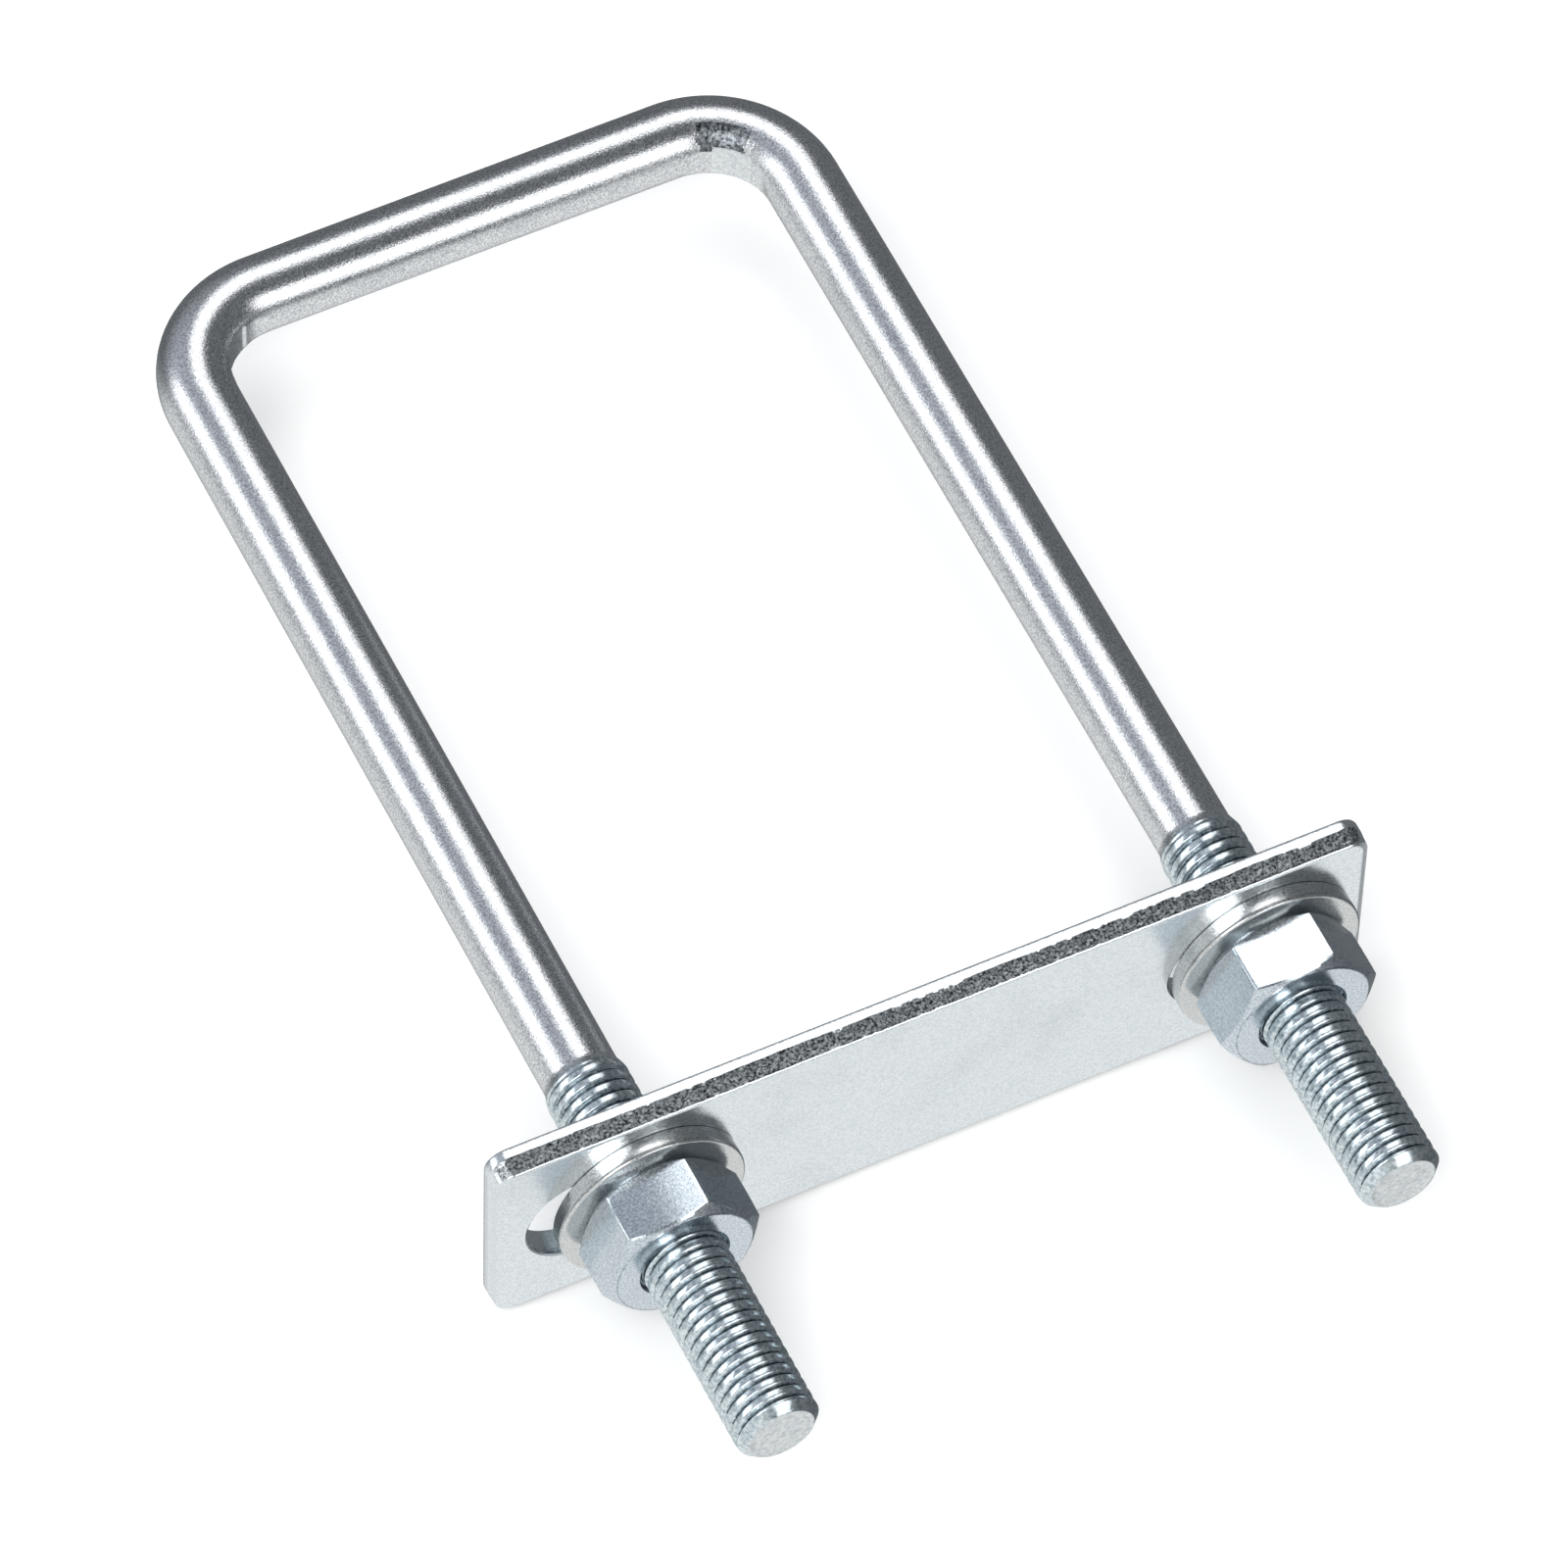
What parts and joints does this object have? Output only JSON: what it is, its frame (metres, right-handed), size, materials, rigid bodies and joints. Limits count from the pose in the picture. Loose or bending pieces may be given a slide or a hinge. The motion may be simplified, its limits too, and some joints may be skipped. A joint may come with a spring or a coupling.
{
  "type": "u-bolt",
  "caption": "Square-bend U-bolt with a slotted strap plate, flat washers and hexagon nuts, for clamping a beam or tube against a flat plate.",
  "frame": {"origin": "midway between the leg axes, on the strap plate's clamping face", "axes": "+X along the crossbar, +Y from the strap plate to the crossbar, +Z along the strap plate's width"},
  "size_m": [0.107, 0.168, 0.028],
  "materials": {
    "rod_zinc": "zinc plated rolled and bent bar, fine mottled grain",
    "plate_zinc": "zinc plated flat bar, smooth faces and sheared edges",
    "washer_zinc": "zinc plated pressed sheet",
    "nut_zinc": "blue-white zinc plated forged and turned"
  },
  "bodies": {
    "u_rod": {"u_rod": "rod_zinc"},
    "strap_plate": {"strap_plate": "plate_zinc"},
    "left_washer": {"left_washer": "washer_zinc"},
    "right_washer": {"right_washer": "washer_zinc"},
    "left_nut": {"left_nut": "nut_zinc"},
    "right_nut": {"right_nut": "nut_zinc"}
  },
  "joints": [
    {"name": "plate_slide", "type": "slide", "parent": "u_rod", "child": "strap_plate", "axis": [0, 1, 0], "range_m": [0, 0.11]},
    {"name": "left_washer_travel", "type": "slide", "parent": "u_rod", "child": "left_washer", "axis": [0, -1, 0], "range_m": [0, 0.033]},
    {"name": "left_nut_turn", "type": "hinge", "parent": "left_washer", "child": "left_nut", "pos_m": [-0.038, -0.0097, 0], "axis": [0, -1, 0], "range_deg": [0, 7940]},
    {"name": "right_washer_travel", "type": "slide", "parent": "u_rod", "child": "right_washer", "axis": [0, -1, 0], "range_m": [0, 0.033]},
    {"name": "right_nut_turn", "type": "hinge", "parent": "right_washer", "child": "right_nut", "pos_m": [0.038, -0.0097, 0], "axis": [0, -1, 0], "range_deg": [0, 7940]}
  ],
  "couplings": [
    {"joint": "left_nut_turn", "follows": "left_washer_travel", "rad_per_m": 4188.8},
    {"joint": "right_nut_turn", "follows": "right_washer_travel", "rad_per_m": 4188.8}
  ]
}
